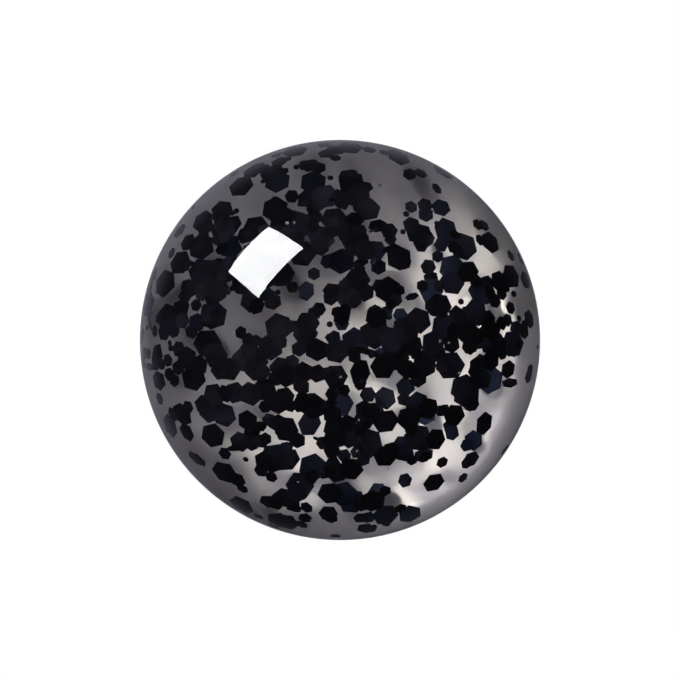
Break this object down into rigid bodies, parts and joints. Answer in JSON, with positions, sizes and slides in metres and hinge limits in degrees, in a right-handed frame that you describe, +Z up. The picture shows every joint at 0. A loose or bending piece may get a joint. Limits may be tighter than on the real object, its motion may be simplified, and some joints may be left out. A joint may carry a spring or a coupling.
{
  "type": "domed lapel pin",
  "caption": "Round lapel pin: a high clear resin dome filled with black glitter on a white enamelled disc, worn on tack posts with butterfly clutches.",
  "frame": {"origin": "centre of the backing plate's flat back, the face that lies on the garment", "axes": "+Z up as worn, +X to the right as seen from the front, +Y from the dome towards the garment and along the tack posts; the dome faces -Y"},
  "size_m": [0.025, 0.0205, 0.025],
  "materials": {
    "clear_resin": "clear and polished",
    "black_glitter": "flat black film, slightly shiny",
    "clear_adhesive": "clear, cured",
    "white_enamel": "smooth warm white",
    "nickel_plate": "nickel plated, fine sandblasted back",
    "steel_post": "bright",
    "solder": "dull, plated over",
    "clutch_sheet": "nickel plated brass sheet",
    "spring_sheet": "nickel plated spring brass"
  },
  "bodies": {
    "pin": {"resin_dome": "clear_resin", "adhesive_layer": "clear_adhesive", "enamel_layer": "white_enamel", "backing_plate": "nickel_plate", "tack_post_left": "steel_post", "tack_post_right": "steel_post", "solder_fillet_left": "solder", "solder_fillet_right": "solder"},
    "clutch_left": {"clutch_left_base": "clutch_sheet", "clutch_left_spring_seat": "spring_sheet"},
    "clutch_left_wing_upper": {"clutch_left_wing_upper": "spring_sheet"},
    "clutch_left_wing_lower": {"clutch_left_wing_lower": "spring_sheet"},
    "clutch_right": {"clutch_right_base": "clutch_sheet", "clutch_right_spring_seat": "spring_sheet"},
    "clutch_right_wing_upper": {"clutch_right_wing_upper": "spring_sheet"},
    "clutch_right_wing_lower": {"clutch_right_wing_lower": "spring_sheet"}
  },
  "joints": [
    {"name": "clutch_left_slide", "type": "slide", "parent": "pin", "child": "clutch_left", "axis": [0, 1, 0], "range_m": [-0.0017, 0.007]},
    {"name": "clutch_left_squeeze_upper", "type": "hinge", "parent": "clutch_left", "child": "clutch_left_wing_upper", "pos_m": [-0.006, 0.0028, 0.00315], "axis": [-1, 0, 0], "range_deg": [0, 7], "stiffness_Nm_per_rad": 0.02, "springref_deg": -5.73},
    {"name": "clutch_left_squeeze_lower", "type": "hinge", "parent": "clutch_left", "child": "clutch_left_wing_lower", "pos_m": [-0.006, 0.0028, -0.00315], "axis": [1, 0, 0], "range_deg": [0, 7], "stiffness_Nm_per_rad": 0.02, "springref_deg": -5.73},
    {"name": "clutch_right_slide", "type": "slide", "parent": "pin", "child": "clutch_right", "axis": [0, 1, 0], "range_m": [-0.0017, 0.007]},
    {"name": "clutch_right_squeeze_upper", "type": "hinge", "parent": "clutch_right", "child": "clutch_right_wing_upper", "pos_m": [0.006, 0.0028, 0.00315], "axis": [-1, 0, 0], "range_deg": [0, 7], "stiffness_Nm_per_rad": 0.02, "springref_deg": -5.73},
    {"name": "clutch_right_squeeze_lower", "type": "hinge", "parent": "clutch_right", "child": "clutch_right_wing_lower", "pos_m": [0.006, 0.0028, -0.00315], "axis": [1, 0, 0], "range_deg": [0, 7], "stiffness_Nm_per_rad": 0.02, "springref_deg": -5.73}
  ],
  "couplings": [
    {"joint": "clutch_left_squeeze_lower", "follows": "clutch_left_squeeze_upper", "ratio": 1},
    {"joint": "clutch_right_squeeze_lower", "follows": "clutch_right_squeeze_upper", "ratio": 1}
  ]
}
